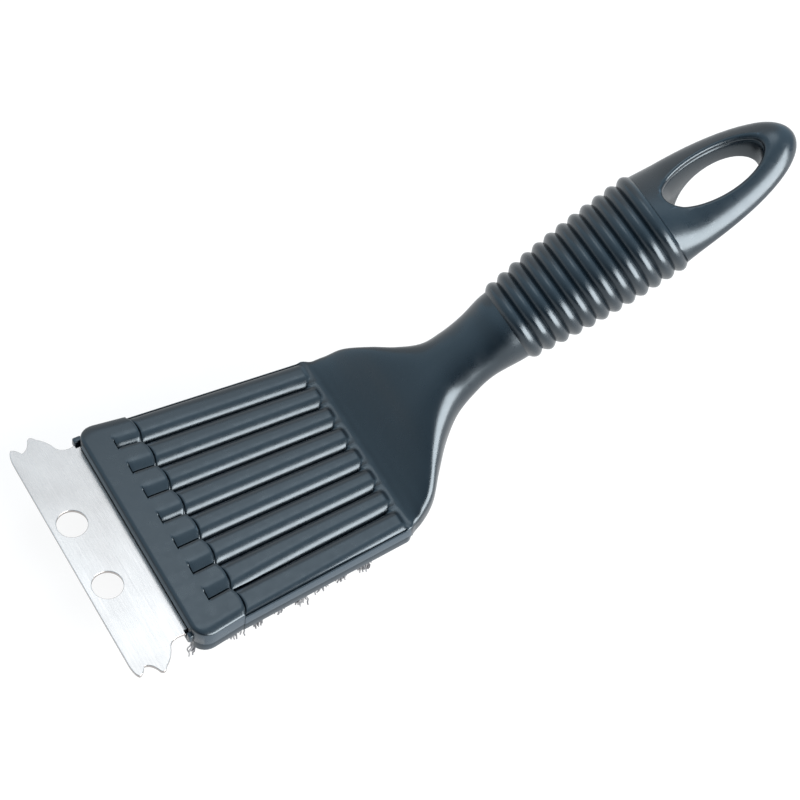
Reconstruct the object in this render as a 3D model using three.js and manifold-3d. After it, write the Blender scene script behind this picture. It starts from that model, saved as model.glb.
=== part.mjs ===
// Grill cleaning brush: one moulded body (head, neck, ribbed grip, hanging loop), a stamped scraper blade
// held by two screws, and crimped-wire bristle tufts set in blind holes. Millimetres, +Z up, +X to the loop.
import * as THREE from "three";
import { LoftGeometry } from "three/addons/geometries/LoftGeometry.js";
import { mergeVertices } from "three/addons/utils/BufferGeometryUtils.js";
import Module from "manifold-3d";

const wasm = await Module();
wasm.setup();

// Driving dimensions. Heights are measured from the crest of the head's bars, lengths from the head's front.
const GAP = 0.3; // clearance between touching pieces
const TIP_DEPTH = 21.5; // bar crests down to the bristle tips

// Head
const HEAD_BACK = 65.5;
const HEAD_BOTTOM = -7.5;
const FRONT_X = -1.9;
const CORNER_RADIUS = 5; // front corners, in plan
const TOP_FILLET = 2.2; // top front edge
const BAND_HEIGHT = 1;
const BAND_BACK = 12.1;
const bandHalf = (x) => 35.8 - 0.15 * x;
const SCALLOP = 1; // each tab of the band bulges back by this
const POCKET_FRONT = 5.5;
const POCKET_DEPTH = 1;

// Bars: eight across, fanning together towards the neck
const BARS = 8;
const BAR_BACK = 62.4;
const NOSE = 1.4; // rounding of a bar's back end, in plan
const GROOVE_DEPTH = 2.2;
const GROOVE_HALF = 0.4;
const LEDGE_Z = -1.2; // floor behind the bars, where the neck starts to rise
const barPitch = (x) => 8.7 - 0.0215 * x;
const headHalf = (x) => (BARS / 2) * barPitch(x) + 0.4;

// Grip and hanging loop: straight axes, the loop a little flatter than the grip
const RINGS = 12;
const RING_PITCH = 3.98;
const RING_RISE = 1.2;
const GRIP_START = { x: 107.7, z: 27.6 };
const GRIP_ANGLE = THREE.MathUtils.degToRad(24.9);
const FIRST_RING = { width: 11.4, height: 10.5 };
const LAST_RING = { width: 14.8, height: 12.2 };
const GRIP_SWELL = 0.8; // the grip is this much wider on each side at its middle ring
const LOOP_ANGLE = THREE.MathUtils.degToRad(21);
const LOOP_LENGTH = 44.2;
const LOOP_HALF_WIDTH = 14.3;
const HOLE = { x: 164.3, halfLength: 14.4, halfWidth: 6.9 };

// Scraper blade
const BLADE_TOP = -3.1;
const BLADE_THICKNESS = 1;
const BLADE_SHIFT = 1.6; // the blade and its slot sit this far off the head's middle
const BLADE_ROOT = { x: -2.9, half: 32 };
const BLADE_HOLE = { x: -14.1, y: 10.3, radius: 4.1 };
const TANG = { back: 8, half: 31 };
const LIP = { front: -2.8, back: 1, half: 33.3, bottom: -6.2 };
// One end of the blade from its root round the tooth and the notch to the front: bends as [x, half width]
// of the control point, then of the end point.
const BLADE_END = [
  [[-6.8, 31.1], [-8, 33.9]],
  [[-9, 36.5], [-11.2, 38.1]],
  [[-12.4, 40.1], [-13.4, 38.7]],
  [[-14.4, 35.9], [-16.4, 35.7]],
  [[-17.3, 37.5], [-18.6, 37.8]],
  [[-19.6, 37.1], [-19.8, 33.9]],
];

// Blade screws
const SCREW = { x: 3.6, y: 19, shank: 1.5, head: 2.9, headHeight: 1.6, tip: -1.6 };

// Bristle tufts
const COLUMNS = 8;
const ROWS = 7;
const FIRST_COLUMN = 13.6;
const COLUMN_PITCH = 6.65;
const TUFT = { root: 1.5, tip: 2.3, seat: -3.7 };

// Bar crests above the floor, and the middle of the outline over the origin
const LIFT = TIP_DEPTH;
const CENTRE_X = 84.5;

const plastic = () => new THREE.MeshStandardMaterial({ color: 0x3c4854, roughness: 0.42, metalness: 0 });
const bladeSteel = () => new THREE.MeshStandardMaterial({ color: 0xd6d5d2, roughness: 0.32, metalness: 1 });
const zinc = () => new THREE.MeshStandardMaterial({ color: 0xa9abad, roughness: 0.35, metalness: 1 });
const wire = () => new THREE.MeshStandardMaterial({ color: 0x8d8b88, roughness: 0.4, metalness: 1 });

// ---- solids -------------------------------------------------------------------------------------------

function toSolid(geometry) {
  const bare = geometry.index ? geometry.toNonIndexed() : geometry;
  bare.deleteAttribute("normal");
  bare.deleteAttribute("uv");
  const merged = mergeVertices(bare, 1e-4);
  return new wasm.Manifold(
    new wasm.Mesh({
      numProp: 3,
      vertProperties: new Float32Array(merged.attributes.position.array),
      triVerts: new Uint32Array(merged.index.array),
    }),
  );
}

function toGeometry(solid) {
  const mesh = solid.getMesh();
  const geometry = new THREE.BufferGeometry();
  geometry.setAttribute("position", new THREE.BufferAttribute(mesh.vertProperties, 3));
  geometry.setIndex(new THREE.BufferAttribute(mesh.triVerts, 1));
  return geometry;
}

const loft = (sections) =>
  toSolid(new LoftGeometry(sections, { closed: true, capStart: true, capEnd: true }));

function box(x0, x1, y0, y1, z0, z1) {
  const geometry = new THREE.BoxGeometry(x1 - x0, y1 - y0, z1 - z0);
  geometry.translate((x0 + x1) / 2, (y0 + y1) / 2, (z0 + z1) / 2);
  return toSolid(geometry);
}

// A turned piece standing on +Z: profile points are [radius, z] from the bottom up.
function turned(profile, sides) {
  const points = profile.map(([radius, z]) => new THREE.Vector2(radius, z));
  return new THREE.LatheGeometry(points, sides).rotateX(Math.PI / 2);
}

const rod = (x, y, radius, z0, z1, sides) =>
  toSolid(turned([[0, z0], [radius, z0], [radius, z1], [0, z1]], sides).translate(x, y, 0));

const lerp = THREE.MathUtils.lerp;
const clamp01 = (value) => Math.min(1, Math.max(0, value));

// ---- head -----------------------------------------------------------------------------------------------

// Where the points of a bar lie across its width, -1 to 1.
const BAR_STEPS = [-1, -0.86, -0.5, 0, 0.5, 0.86, 1];

const barCrown = (s) => Math.sqrt(Math.max(0, 1 - Math.abs(s) ** 3));

// Half the head's width, with the round front corners and the taper to the back.
function headOutline(x) {
  const straight = x < BAND_BACK ? bandHalf(x) : headHalf(x);
  const fromFront = x - FRONT_X;
  if (fromFront >= CORNER_RADIUS) return straight;
  return straight - CORNER_RADIUS + Math.sqrt(CORNER_RADIUS ** 2 - (CORNER_RADIUS - fromFront) ** 2);
}

// Drop of the top surface towards the front edge.
function frontDrop(x) {
  const inset = TOP_FILLET - (x - FRONT_X);
  if (inset <= 0) return 0;
  return TOP_FILLET - Math.sqrt(Math.max(0, TOP_FILLET ** 2 - inset ** 2));
}

// One section of the head. style: "band", "pocket", "bars" or "ledge"; crown scales the bars' height;
// bulge and nose move the points of each bar back or forward.
function headSection({ x, style, crown = 1, bulge = 0, nose = 0 }) {
  const half = headOutline(x);
  const top = (style === "band" || style === "pocket" ? BAND_HEIGHT : 0) - frontDrop(x);
  const edge = style === "bars" ? -1.5 : style === "ledge" ? LEDGE_Z : top;
  const round = style === "bars" ? 0.4 : 1;
  const points = [
    [x, half - 1.6, HEAD_BOTTOM],
    [x, half - 0.5, HEAD_BOTTOM + 0.7],
    [x, half - 0.2, HEAD_BOTTOM + 2],
    [x, half, edge - round],
    [x, half - 0.3 * round, edge - 0.3 * round],
    [x, half - round, edge],
  ];
  const pitch = barPitch(Math.max(x, 0)) * Math.min(1, (half - 1.2) / headHalf(Math.max(x, 0)));
  const reach = pitch / 2 - GROOVE_HALF;
  for (let bar = BARS - 1; bar >= 0; bar--) {
    const middle = (bar - (BARS - 1) / 2) * pitch;
    for (const step of [...BAR_STEPS].reverse()) {
      const outer = (bar === 0 && step < 0) || (bar === BARS - 1 && step > 0);
      let z = top;
      if (style === "pocket" && !outer) z -= POCKET_DEPTH * clamp01((Math.abs(step) - 0.5) * 2.4);
      if (style === "bars") z = LEDGE_Z + (-GROOVE_DEPTH - LEDGE_Z + GROOVE_DEPTH * barCrown(step)) * crown;
      if (style === "ledge") z = LEDGE_Z;
      points.push([x + bulge * (1 - step * step) - nose * step ** 4, middle + reach * step, z]);
    }
  }
  points.push(...points.slice(0, 6).map(([px, y, z]) => [px, -y, z]).reverse());
  return points.map((point) => new THREE.Vector3(...point));
}

function headSolid() {
  const sections = [];
  for (const turn of [0.12, 0.32, 0.55, 0.78, 1]) {
    const x = FRONT_X + CORNER_RADIUS * (1 - Math.cos((turn * Math.PI) / 2));
    sections.push(headSection({ x, style: "band" }));
  }
  sections.push(headSection({ x: POCKET_FRONT, style: "band" }));
  sections.push(headSection({ x: POCKET_FRONT + 0.3, style: "pocket" }));
  sections.push(headSection({ x: BAND_BACK - 0.1, style: "pocket", bulge: SCALLOP }));
  sections.push(headSection({ x: BAND_BACK + 0.4, style: "bars", bulge: SCALLOP }));
  sections.push(headSection({ x: BAND_BACK + 2.4, style: "bars" }));
  sections.push(headSection({ x: BAR_BACK - 2.6, style: "bars" }));
  sections.push(headSection({ x: BAR_BACK - 1.2, style: "bars", nose: NOSE }));
  sections.push(headSection({ x: BAR_BACK - 0.3, style: "bars", crown: 0.7, nose: NOSE }));
  sections.push(headSection({ x: BAR_BACK + 0.2, style: "ledge", nose: NOSE }));
  sections.push(headSection({ x: HEAD_BACK - 1.5, style: "ledge" }));
  return loft(sections);
}

// ---- neck, grip and loop --------------------------------------------------------------------------------

// Stations of the neck: top edge [x, z], bottom edge [x, z], half width, squareness of the section.
const NECK = [
  { top: [58, -3.2], bottom: [58, -7.2], half: 28.6, square: 7 },
  { top: [62.6, -2], bottom: [62.6, -7.5], half: 29.4, square: 7 },
  { top: [64.2, 0], bottom: [64.2, -7.5], half: 29.1, square: 7 },
  { top: [67.2, 3.6], bottom: [67.6, -7.3], half: 27.6, square: 6 },
  { top: [71.5, 8.3], bottom: [72.4, -6.9], half: 24.3, square: 5 },
  { top: [75.8, 13.2], bottom: [77.6, -5.4], half: 18.3, square: 4.4 },
  { top: [80.5, 17.9], bottom: [82.8, -1.8], half: 13, square: 4 },
  { top: [85.4, 22.2], bottom: [87.8, 3.6], half: 10, square: 3.6 },
  { top: [90.6, 26.3], bottom: [93.2, 9.4], half: 9.1, square: 3.2 },
  { top: [96, 30.1], bottom: [99, 14.4], half: 9.1, square: 2.8 },
];

const SIDES = 28;

// A section in the plane that holds the y axis and the up direction at the given angle.
function roundSection({ x, z, angle, half, above, below, square }) {
  const points = [];
  for (let i = 0; i < SIDES; i++) {
    const turn = (2 * Math.PI * i) / SIDES;
    const across = Math.sign(Math.cos(turn)) * Math.abs(Math.cos(turn)) ** (2 / square);
    const up = Math.sign(Math.sin(turn)) * Math.abs(Math.sin(turn)) ** (2 / square);
    const rise = up * (up > 0 ? above : below);
    points.push(new THREE.Vector3(x - Math.sin(angle) * rise, half * across, z + Math.cos(angle) * rise));
  }
  return points;
}

function neckSection({ top, bottom, half, square }) {
  const angle = Math.atan2(bottom[0] - top[0], top[1] - bottom[1]);
  const height = Math.hypot(bottom[0] - top[0], top[1] - bottom[1]) / 2;
  const x = (top[0] + bottom[0]) / 2;
  const z = (top[1] + bottom[1]) / 2;
  return roundSection({ x, z, angle, half, above: height, below: height, square });
}

// A ring section: distance along the grip from the first ring, and how far it stands above the valleys.
function gripSection(distance, rise) {
  const along = distance / ((RINGS - 1) * RING_PITCH);
  const sunk = RING_RISE * (1 - rise);
  const height = lerp(FIRST_RING.height, LAST_RING.height, along) - sunk;
  const swell = GRIP_SWELL * Math.sin(Math.PI * clamp01(along));
  return roundSection({
    x: GRIP_START.x + distance * Math.cos(GRIP_ANGLE),
    z: GRIP_START.z + distance * Math.sin(GRIP_ANGLE),
    angle: GRIP_ANGLE,
    half: lerp(FIRST_RING.width, LAST_RING.width, along) + swell - sunk,
    above: height,
    below: height,
    square: 2.2,
  });
}

// A loop section: distance past the last ring. The loop thins quickly below and slowly above.
function loopSection(distance) {
  const gripLength = (RINGS - 1) * RING_PITCH;
  const along = distance / LOOP_LENGTH;
  const taper = Math.sqrt(Math.max(0, 1 - along ** 2.3));
  const endRound = Math.sqrt(Math.max(0, 1 - clamp01((along - 0.84) / 0.16) ** 2));
  const thinning = 1 - Math.exp(-distance / 7);
  return roundSection({
    x: GRIP_START.x + gripLength * Math.cos(GRIP_ANGLE) + distance * Math.cos(LOOP_ANGLE),
    z: GRIP_START.z + gripLength * Math.sin(GRIP_ANGLE) + distance * Math.sin(LOOP_ANGLE),
    angle: lerp(GRIP_ANGLE, LOOP_ANGLE, clamp01(along * 3)),
    half: LOOP_HALF_WIDTH * taper,
    above: lerp(11, 8.2, clamp01(along * 5)) * lerp(1, 0.66, clamp01(along * 1.2)) * endRound,
    below: lerp(11, 3.6, thinning) * endRound,
    square: 2.3,
  });
}

function handleSolid() {
  const sections = NECK.map(neckSection);
  sections.push(gripSection(-RING_PITCH, 0));
  for (let ring = 0; ring < RINGS; ring++) {
    const middle = ring * RING_PITCH;
    sections.push(gripSection(middle - RING_PITCH / 2, 0));
    sections.push(gripSection(middle - RING_PITCH / 4, 0.78));
    sections.push(gripSection(middle, 1));
    sections.push(gripSection(middle + RING_PITCH / 4, 0.78));
  }
  for (const distance of [2.1, 5, 9, 14, 20, 26, 31, 35, 38.5, 41.2, 43, 43.9]) {
    sections.push(loopSection(distance));
  }
  return loft(sections);
}

// The hanging hole goes straight up through the sloping loop.
function holeSolid() {
  const outline = new THREE.Shape();
  outline.absellipse(HOLE.x, 0, HOLE.halfLength, HOLE.halfWidth, 0, 2 * Math.PI);
  const geometry = new THREE.ExtrudeGeometry(outline, { depth: 60, bevelEnabled: false, curveSegments: 32 });
  return toSolid(geometry.translate(0, 0, 25));
}

// ---- body -----------------------------------------------------------------------------------------------

function tuftPlaces() {
  const places = [];
  for (let column = 0; column < COLUMNS; column++) {
    const x = FIRST_COLUMN + column * COLUMN_PITCH;
    const inset = column === COLUMNS - 1 ? 1 : 0; // the last column has no tuft in its end rows
    for (let row = inset; row < ROWS - inset; row++) {
      const y = (row - (ROWS - 1) / 2) * barPitch(x);
      places.push({ name: `bristle_tuft_c${column + 1}_r${row + 1}`, x, y });
    }
  }
  return places;
}

const screwPlaces = () => [
  { name: "blade_screw_near", x: SCREW.x, y: BLADE_SHIFT - SCREW.y },
  { name: "blade_screw_far", x: SCREW.x, y: BLADE_SHIFT + SCREW.y },
];

function bodySolid() {
  const bladeBottom = BLADE_TOP - BLADE_THICKNESS;
  const lipTop = bladeBottom - GAP;
  const lip = box(LIP.front, LIP.back, BLADE_SHIFT - LIP.half, BLADE_SHIFT + LIP.half, LIP.bottom, lipTop);
  const slotHalf = TANG.half + GAP;
  const slot = box(LIP.front - 1, TANG.back + GAP, BLADE_SHIFT - slotHalf, BLADE_SHIFT + slotHalf,
    lipTop, BLADE_TOP + GAP);
  let body = headSolid().add(handleSolid()).add(lip).subtract(slot).subtract(holeSolid());
  for (const { x, y } of screwPlaces()) {
    body = body.subtract(rod(x, y, SCREW.shank + GAP, HEAD_BOTTOM - 1, SCREW.tip + GAP, 12));
    const bore = SCREW.head + GAP;
    body = body.subtract(rod(x, y, bore, HEAD_BOTTOM - 1, HEAD_BOTTOM + SCREW.headHeight + GAP, 12));
  }
  for (const { x, y } of tuftPlaces()) {
    body = body.subtract(rod(x, y, TUFT.root + GAP, HEAD_BOTTOM - 1, TUFT.seat + GAP, 8));
  }
  return body;
}

// ---- blade ----------------------------------------------------------------------------------------------

// The blade's outline: the tang, then one end, and the other end mirrored.
function bladeShape() {
  const starts = [[BLADE_ROOT.x, BLADE_ROOT.half], ...BLADE_END.map(([, end]) => end)];
  const [frontX, frontHalf] = starts.at(-1);
  const shape = new THREE.Shape();
  shape.moveTo(TANG.back, -TANG.half);
  shape.lineTo(TANG.back, TANG.half);
  shape.lineTo(BLADE_ROOT.x, TANG.half);
  shape.lineTo(BLADE_ROOT.x, BLADE_ROOT.half);
  for (const [control, end] of BLADE_END) shape.quadraticCurveTo(...control, ...end);
  shape.lineTo(frontX, -frontHalf);
  for (let i = BLADE_END.length - 1; i >= 0; i--) {
    const [controlX, controlHalf] = BLADE_END[i][0];
    const [startX, startHalf] = starts[i];
    shape.quadraticCurveTo(controlX, -controlHalf, startX, -startHalf);
  }
  shape.lineTo(BLADE_ROOT.x, -TANG.half);
  return shape;
}

function bladeSolid() {
  const shape = bladeShape();
  for (const side of [-1, 1]) {
    const hole = new THREE.Path();
    hole.absarc(BLADE_HOLE.x, side * BLADE_HOLE.y, BLADE_HOLE.radius, 0, 2 * Math.PI, true);
    shape.holes.push(hole);
    const seat = new THREE.Path();
    seat.absarc(SCREW.x, side * SCREW.y, SCREW.shank + GAP, 0, 2 * Math.PI, true);
    shape.holes.push(seat);
  }
  const settings = { depth: BLADE_THICKNESS, bevelEnabled: false, curveSegments: 8 };
  const geometry = new THREE.ExtrudeGeometry(shape, settings);
  return toSolid(geometry.translate(0, BLADE_SHIFT, BLADE_TOP - BLADE_THICKNESS));
}

// ---- small pieces -----------------------------------------------------------------------------------------

function screwGeometry() {
  const under = HEAD_BOTTOM + SCREW.headHeight;
  const profile = [
    [0, HEAD_BOTTOM],
    [SCREW.head * 0.8, HEAD_BOTTOM],
    [SCREW.head, HEAD_BOTTOM + 0.5],
    [SCREW.head, under],
    [SCREW.shank, under],
    [SCREW.shank, SCREW.tip - 1],
    [0, SCREW.tip],
  ];
  return turned(profile, 14);
}

// A tuft spreads from its hole to its trimmed, flat tip.
function tuftGeometry() {
  const profile = [
    [0, -TIP_DEPTH],
    [TUFT.tip, -TIP_DEPTH],
    [lerp(TUFT.root, TUFT.tip, 0.45), HEAD_BOTTOM - 6],
    [TUFT.root, HEAD_BOTTOM - 0.5],
    [TUFT.root, TUFT.seat],
    [0, TUFT.seat],
  ];
  return turned(profile, 8);
}

// ---- assembly ---------------------------------------------------------------------------------------------

const group = new THREE.Group();
group.name = "grill_cleaning_brush";
group.position.set(-CENTRE_X, -BLADE_SHIFT, LIFT);

function place(name, geometry, material, x = 0, y = 0) {
  const mesh = new THREE.Mesh(geometry, material);
  mesh.name = name;
  mesh.position.set(x, y, 0);
  group.add(mesh);
}

place("moulded_body", toGeometry(bodySolid()), plastic());
place("scraper_blade", toGeometry(bladeSolid()), bladeSteel());
for (const { name, x, y } of screwPlaces()) place(name, screwGeometry(), zinc(), x, y);
for (const { name, x, y } of tuftPlaces()) place(name, tuftGeometry(), wire(), x, y);

export default group;
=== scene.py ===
import math
import random

import bmesh
import bpy
import numpy as np
from mathutils import Matrix, Vector
from mathutils.bvhtree import BVHTree


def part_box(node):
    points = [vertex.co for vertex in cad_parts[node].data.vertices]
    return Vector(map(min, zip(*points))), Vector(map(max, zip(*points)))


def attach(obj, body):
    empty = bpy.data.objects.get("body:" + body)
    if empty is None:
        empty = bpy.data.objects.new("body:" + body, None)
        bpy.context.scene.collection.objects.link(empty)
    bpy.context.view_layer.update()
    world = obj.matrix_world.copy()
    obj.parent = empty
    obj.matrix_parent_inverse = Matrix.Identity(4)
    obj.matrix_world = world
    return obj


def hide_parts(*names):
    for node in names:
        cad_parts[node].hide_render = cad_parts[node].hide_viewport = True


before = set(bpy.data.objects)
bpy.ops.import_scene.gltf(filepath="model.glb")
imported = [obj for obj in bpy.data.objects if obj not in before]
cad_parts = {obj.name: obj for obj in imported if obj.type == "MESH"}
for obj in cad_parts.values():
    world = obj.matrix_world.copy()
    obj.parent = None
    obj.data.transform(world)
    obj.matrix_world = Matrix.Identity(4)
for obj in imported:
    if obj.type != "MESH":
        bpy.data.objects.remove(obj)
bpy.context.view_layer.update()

# Grill cleaning brush. Lengths are in millimetres in the head's own frame: z = 0 on the crest of the bars,
# x = 0 near the head's front, y = 0 on the middle groove. place() turns them into the frame's metres.
MM = 0.001
BODY = "root"
GAP = 0.3  # clearance round the blade, the screws and the tufts

# The head's outline: half width of the front band at x = 0, how fast it narrows, and the rounded edges.
FRONT_HALF, FRONT_TAPER = 35.8, 0.15
HEAD_BOTTOM = -7.5
FRONT_X = -1.9
CORNER_RADIUS = 5.0
FRONT_FILLET = 1.0
BOTTOM_FILLET = 0.5
SIDE_SLOPE, SIDE_RADIUS, SIDE_EDGE = 2.8, 4.8, 0.3  # a gentle fall over the last 2.8 mm, then a small edge
SHOULDER = 0.8  # from the outer bar's edge to the side wall
SIDE_MARGIN = 0.4  # from the outer bar's boundary to the side wall, behind the band

# The front band with its rounded tabs, and the pockets between them.
BAND_HEIGHT = 1.0
BAND_BACK = 12.1
SCALLOP = 1.0
POCKET_FRONT = 5.5
POCKET_DEPTH = 1.0

# The bars, the grooves between them and the ledge behind them.
BARS = 8
BAR_PITCH, PITCH_TAPER = 8.7, 0.0215
BAR_RADIUS = 3.3
NEAR_ANGLE, FAR_ANGLE = 70, 48  # how steep the bars' near and far flanks get, in degrees
BAR_BACK, BAR_END = 62.4, 1.5  # the bars' back end, and the length over which they round off
NOSE, NOSE_POWER = 1.7, 3.5
NOSE_END, NOSE_FADE = 62.5, 1.4
GROOVE_SHIFT = -0.4  # the grooves lie a little nearer than the middle between two crests
GROOVE_DEPTH, GROOVE_HALF, GROOVE_ROUND = 2.0, 0.3, 0.45
LEDGE_Z, LEDGE_EDGE, LEDGE_END = -0.45, 0.5, 64.2

SCREWS = ("blade_screw_near", "blade_screw_far")
SCREW_BORE_RADIUS, COUNTERBORE_DEPTH = 1.8, 1.9
TUFT_HOLE_RADIUS, TUFT_HOLE_MOUTH = 1.8, 2.15

# The lip under the blade, the slot for its tang and a nub at each end of the slot.
LIP_FRONT, LIP_BOTTOM, LIP_DEPTH, LIP_HALF, LIP_ROUND = -2.8, -6.2, 3.8, 33.3, 0.5
SLOT_HALF, SLOT_ROUND = 31.3, 0.12
NUB_Y, NUB_HALF, NUB_DEPTH, NUB_ROUND = 33.05, 0.85, 2.4, 0.35

# The grip: 12 rings along a rising axis, given by its first and last ring.
RINGS = 12
RING_PITCH = 3.98
RING_RISE, RING_POWER = 1.2, 1.9
GRIP_X, GRIP_Z = 107.7, 27.6
GRIP_ANGLE = math.radians(24.9)
GRIP_LENGTH = (RINGS - 1) * RING_PITCH
FIRST_RING = (11.4, 10.5)  # half width, half height
LAST_RING = (14.8, 12.2)
GRIP_SWELL = 0.8
GRIP_SQUARE = 2.2

# The loop: how far it reaches above and below its axis at the grip and farther on, and its hanging hole.
LOOP_ANGLE = math.radians(21)
LOOP_LENGTH = 44.16
LOOP_HALF_WIDTH = 14.3
LOOP_ABOVE, LOOP_BELOW = (11, 8.12), (11, 3.6)
LOOP_TIP_SHARE = 0.66  # how much of its height above the axis is left near the tip
LOOP_ROUND_START = 0.84  # the share of the length where the tip's rounding starts
LOOP_SQUARE = 2.1
HOLE_X, HOLE_HALF_LENGTH, HOLE_HALF_WIDTH = 164.3, 14.4, 6.9
HOLE_LEAN = 5.6  # the hole's grip end leans away from the grip, so that its lower rim clears the last ring
HOLE_RIM, HOLE_LOWER_RIM = 1.3, 0.9
HOLE_SIDES = 112

# Neck stations: top edge x, z, bottom edge x, z, half width, squareness of the far side and of the near side.
NECK_BLEND = 2.2  # the length over which the ledge's section turns into the neck's
NECK_SECTIONS = 90
NECK = [
    (62.6, -0.45, 62.6, -7.5, 29.7, 9.0, 9.0),
    (63.4, -0.05, 63.4, -7.5, 29.5, 8.0, 8.0),
    (64.4, 0.7, 64.3, -7.5, 29.0, 6.5, 6.0),
    (67.2, 3.6, 67.6, -7.3, 27.9, 4.4, 4.2),
    (71.5, 8.9, 72.4, -6.9, 25.2, 4.6, 3.0),
    (75.8, 14.5, 77.6, -5.4, 19.5, 4.8, 2.5),
    (80.5, 19.0, 82.8, -1.8, 14.0, 3.6, 2.3),
    (85.4, 22.5, 87.8, 3.6, 10.4, 2.6, 2.2),
    (90.6, 26.3, 93.2, 9.4, 9.2, 2.2, 2.15),
    (96.0, 30.1, 99.0, 14.4, 9.1, 2.1, 2.1),
]

body_low, body_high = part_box("moulded_body")
ORIGIN = Vector((body_low.x - LIP_FRONT * MM, (body_low.y + body_high.y) / 2, body_low.z - HEAD_BOTTOM * MM))


def place(points):
    """Millimetres in the head's frame to metres in the row frame."""
    return np.asarray(points, float) * MM + np.array(ORIGIN)


def lerp(a, b, t):
    return a + (b - a) * t


def clamp01(value):
    return np.clip(value, 0.0, 1.0)


def smoothstep(value):
    t = clamp01(value)
    return t * t * (3 - 2 * t)


def edge_drop(radius, inset):
    """How far a rounded edge lies below its face, at a distance in from the edge."""
    rest = clamp01(1 - np.asarray(inset, float) / radius) * radius
    return radius - np.sqrt(np.maximum(0, radius**2 - rest**2))


# ---- mesh helpers ----------------------------------------------------------------------------------------


def add_object(name, vertices, faces, smooth_angle=None):
    """A mesh object from vertices in metres, with its normals facing out."""
    mesh = bpy.data.meshes.new(name)
    mesh.from_pydata([tuple(v) for v in vertices], [], faces)
    finish_mesh(mesh, smooth_angle)
    obj = bpy.data.objects.new(name, mesh)
    bpy.context.scene.collection.objects.link(obj)
    return obj


def finish_mesh(mesh, smooth_angle=None, merge=1e-7):
    """Joins doubled vertices, turns the faces out and smooths the edges below the angle, in degrees."""
    work = bmesh.new()
    work.from_mesh(mesh)
    bmesh.ops.remove_doubles(work, verts=work.verts, dist=merge)
    bmesh.ops.recalc_face_normals(work, faces=work.faces)
    work.to_mesh(mesh)
    work.free()
    mesh.validate()
    if smooth_angle is not None:
        mesh.shade_smooth()
        mesh.set_sharp_from_angle(angle=math.radians(smooth_angle))


def loft(rings, closed_ends=True):
    """Vertices and faces through closed rings that all have the same number of points."""
    count = len(rings[0])
    vertices = np.concatenate(rings)
    faces = []
    for row in range(len(rings) - 1):
        a, b = row * count, (row + 1) * count
        for k in range(count):
            n = (k + 1) % count
            faces.append((a + k, a + n, b + n, b + k))
    if closed_ends:
        faces.append(tuple(range(count - 1, -1, -1)))
        faces.append(tuple(range((len(rings) - 1) * count, len(rings) * count)))
    return vertices, faces


def combine(parts):
    """One vertex list and one face list from several."""
    vertices, faces, start = [], [], 0
    for part_vertices, part_faces in parts:
        vertices.append(np.asarray(part_vertices))
        faces.extend(tuple(i + start for i in face) for face in part_faces)
        start += len(part_vertices)
    return np.concatenate(vertices), faces


def boolean(obj, cutter, operation):
    """Applies a boolean and removes the cutter."""
    modifier = obj.modifiers.new("cut", "BOOLEAN")
    modifier.operation = operation
    modifier.object = cutter
    modifier.solver = "EXACT"
    graph = bpy.context.evaluated_depsgraph_get()
    result = bpy.data.meshes.new_from_object(obj.evaluated_get(graph))
    obj.modifiers.remove(modifier)
    old = obj.data
    obj.data = result
    bpy.data.meshes.remove(old)
    cutter_mesh = cutter.data
    bpy.data.objects.remove(cutter)
    bpy.data.meshes.remove(cutter_mesh)


def turned(profile, sides, centre=(0, 0)):
    """A closed turned shape on +Z from [radius, z] points, starting and ending on the axis."""
    angles = np.arange(sides) * 2 * math.pi / sides
    inner = profile[1:-1]
    rings = [
        np.stack([centre[0] + r * np.cos(angles), centre[1] + r * np.sin(angles), np.full(sides, z)], 1)
        for r, z in inner
    ]
    vertices, faces = loft(rings, closed_ends=False)
    low, high = len(vertices), len(vertices) + 1
    poles = np.array([[*centre, profile[0][1]], [*centre, profile[-1][1]]], float)
    last = (len(inner) - 1) * sides
    for k in range(sides):
        n = (k + 1) % sides
        faces.append((low, n, k))
        faces.append((high, last + k, last + n))
    return np.concatenate([vertices, poles]), faces


# ---- moulded body ----------------------------------------------------------------------------------------

# Columns across the top: bar number (0 is the near one), place across the bar from -1 to 1, offset from the
# bar boundary, and whether the column is in a groove.
HALF_BAR = [0, 0.22, 0.32, 0.42, 0.52, 0.62, 0.7, 0.78, 0.86, 0.92, 0.965, 1]
BAR_STEPS = [-s for s in HALF_BAR[:0:-1]] + HALF_BAR
GROOVE_STEPS = [-0.22, -0.08, 0.08, 0.22]
TOP_COLUMNS = []
for bar_number in range(BARS):
    TOP_COLUMNS += [(bar_number, s, 0.0, False) for s in BAR_STEPS]
    if bar_number < BARS - 1:
        TOP_COLUMNS += [(bar_number, 1.0, offset, True) for offset in GROOVE_STEPS]
COLUMN_BAR = np.array([c[0] for c in TOP_COLUMNS], float)
COLUMN_S = np.array([c[1] for c in TOP_COLUMNS])
COLUMN_OFFSET = np.array([c[2] for c in TOP_COLUMNS])
IN_GROOVE = np.array([c[3] for c in TOP_COLUMNS])
STEEP_POCKET = (COLUMN_BAR == 7) | (COLUMN_BAR == 4)  # these pockets' floors fall more steeply
# The outer flanks of the two outer bars have no pocket, tab edge or rounded end.
OUTER = ((COLUMN_BAR == 0) & (COLUMN_S < 0)) | ((COLUMN_BAR == BARS - 1) & (COLUMN_S > 0) & ~IN_GROOVE)

# Side columns from the shoulder groove over the rim and down the wall: distance in from the side, and height.
SIDE_INSET = np.array([0.62, 0.50, 0.42, 0.34, 0.16, 0.06, 0.0, 0.0, 0.1, 0.1, 0.02, 0.25, 1.6])
SIDE_Z = np.array([-1.45, -1.4, -1.2, -1.1, -1.1, -1.15, -1.3, -4.1, -4.2, -4.35, -4.5, -7.2, -7.5])
RIM_COUNT = 7
BOTTOM_COLUMNS = 41
BOTTOM_U = np.sin(np.linspace(-1, 1, BOTTOM_COLUMNS + 2)[1:-1] * math.pi / 2)


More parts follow.
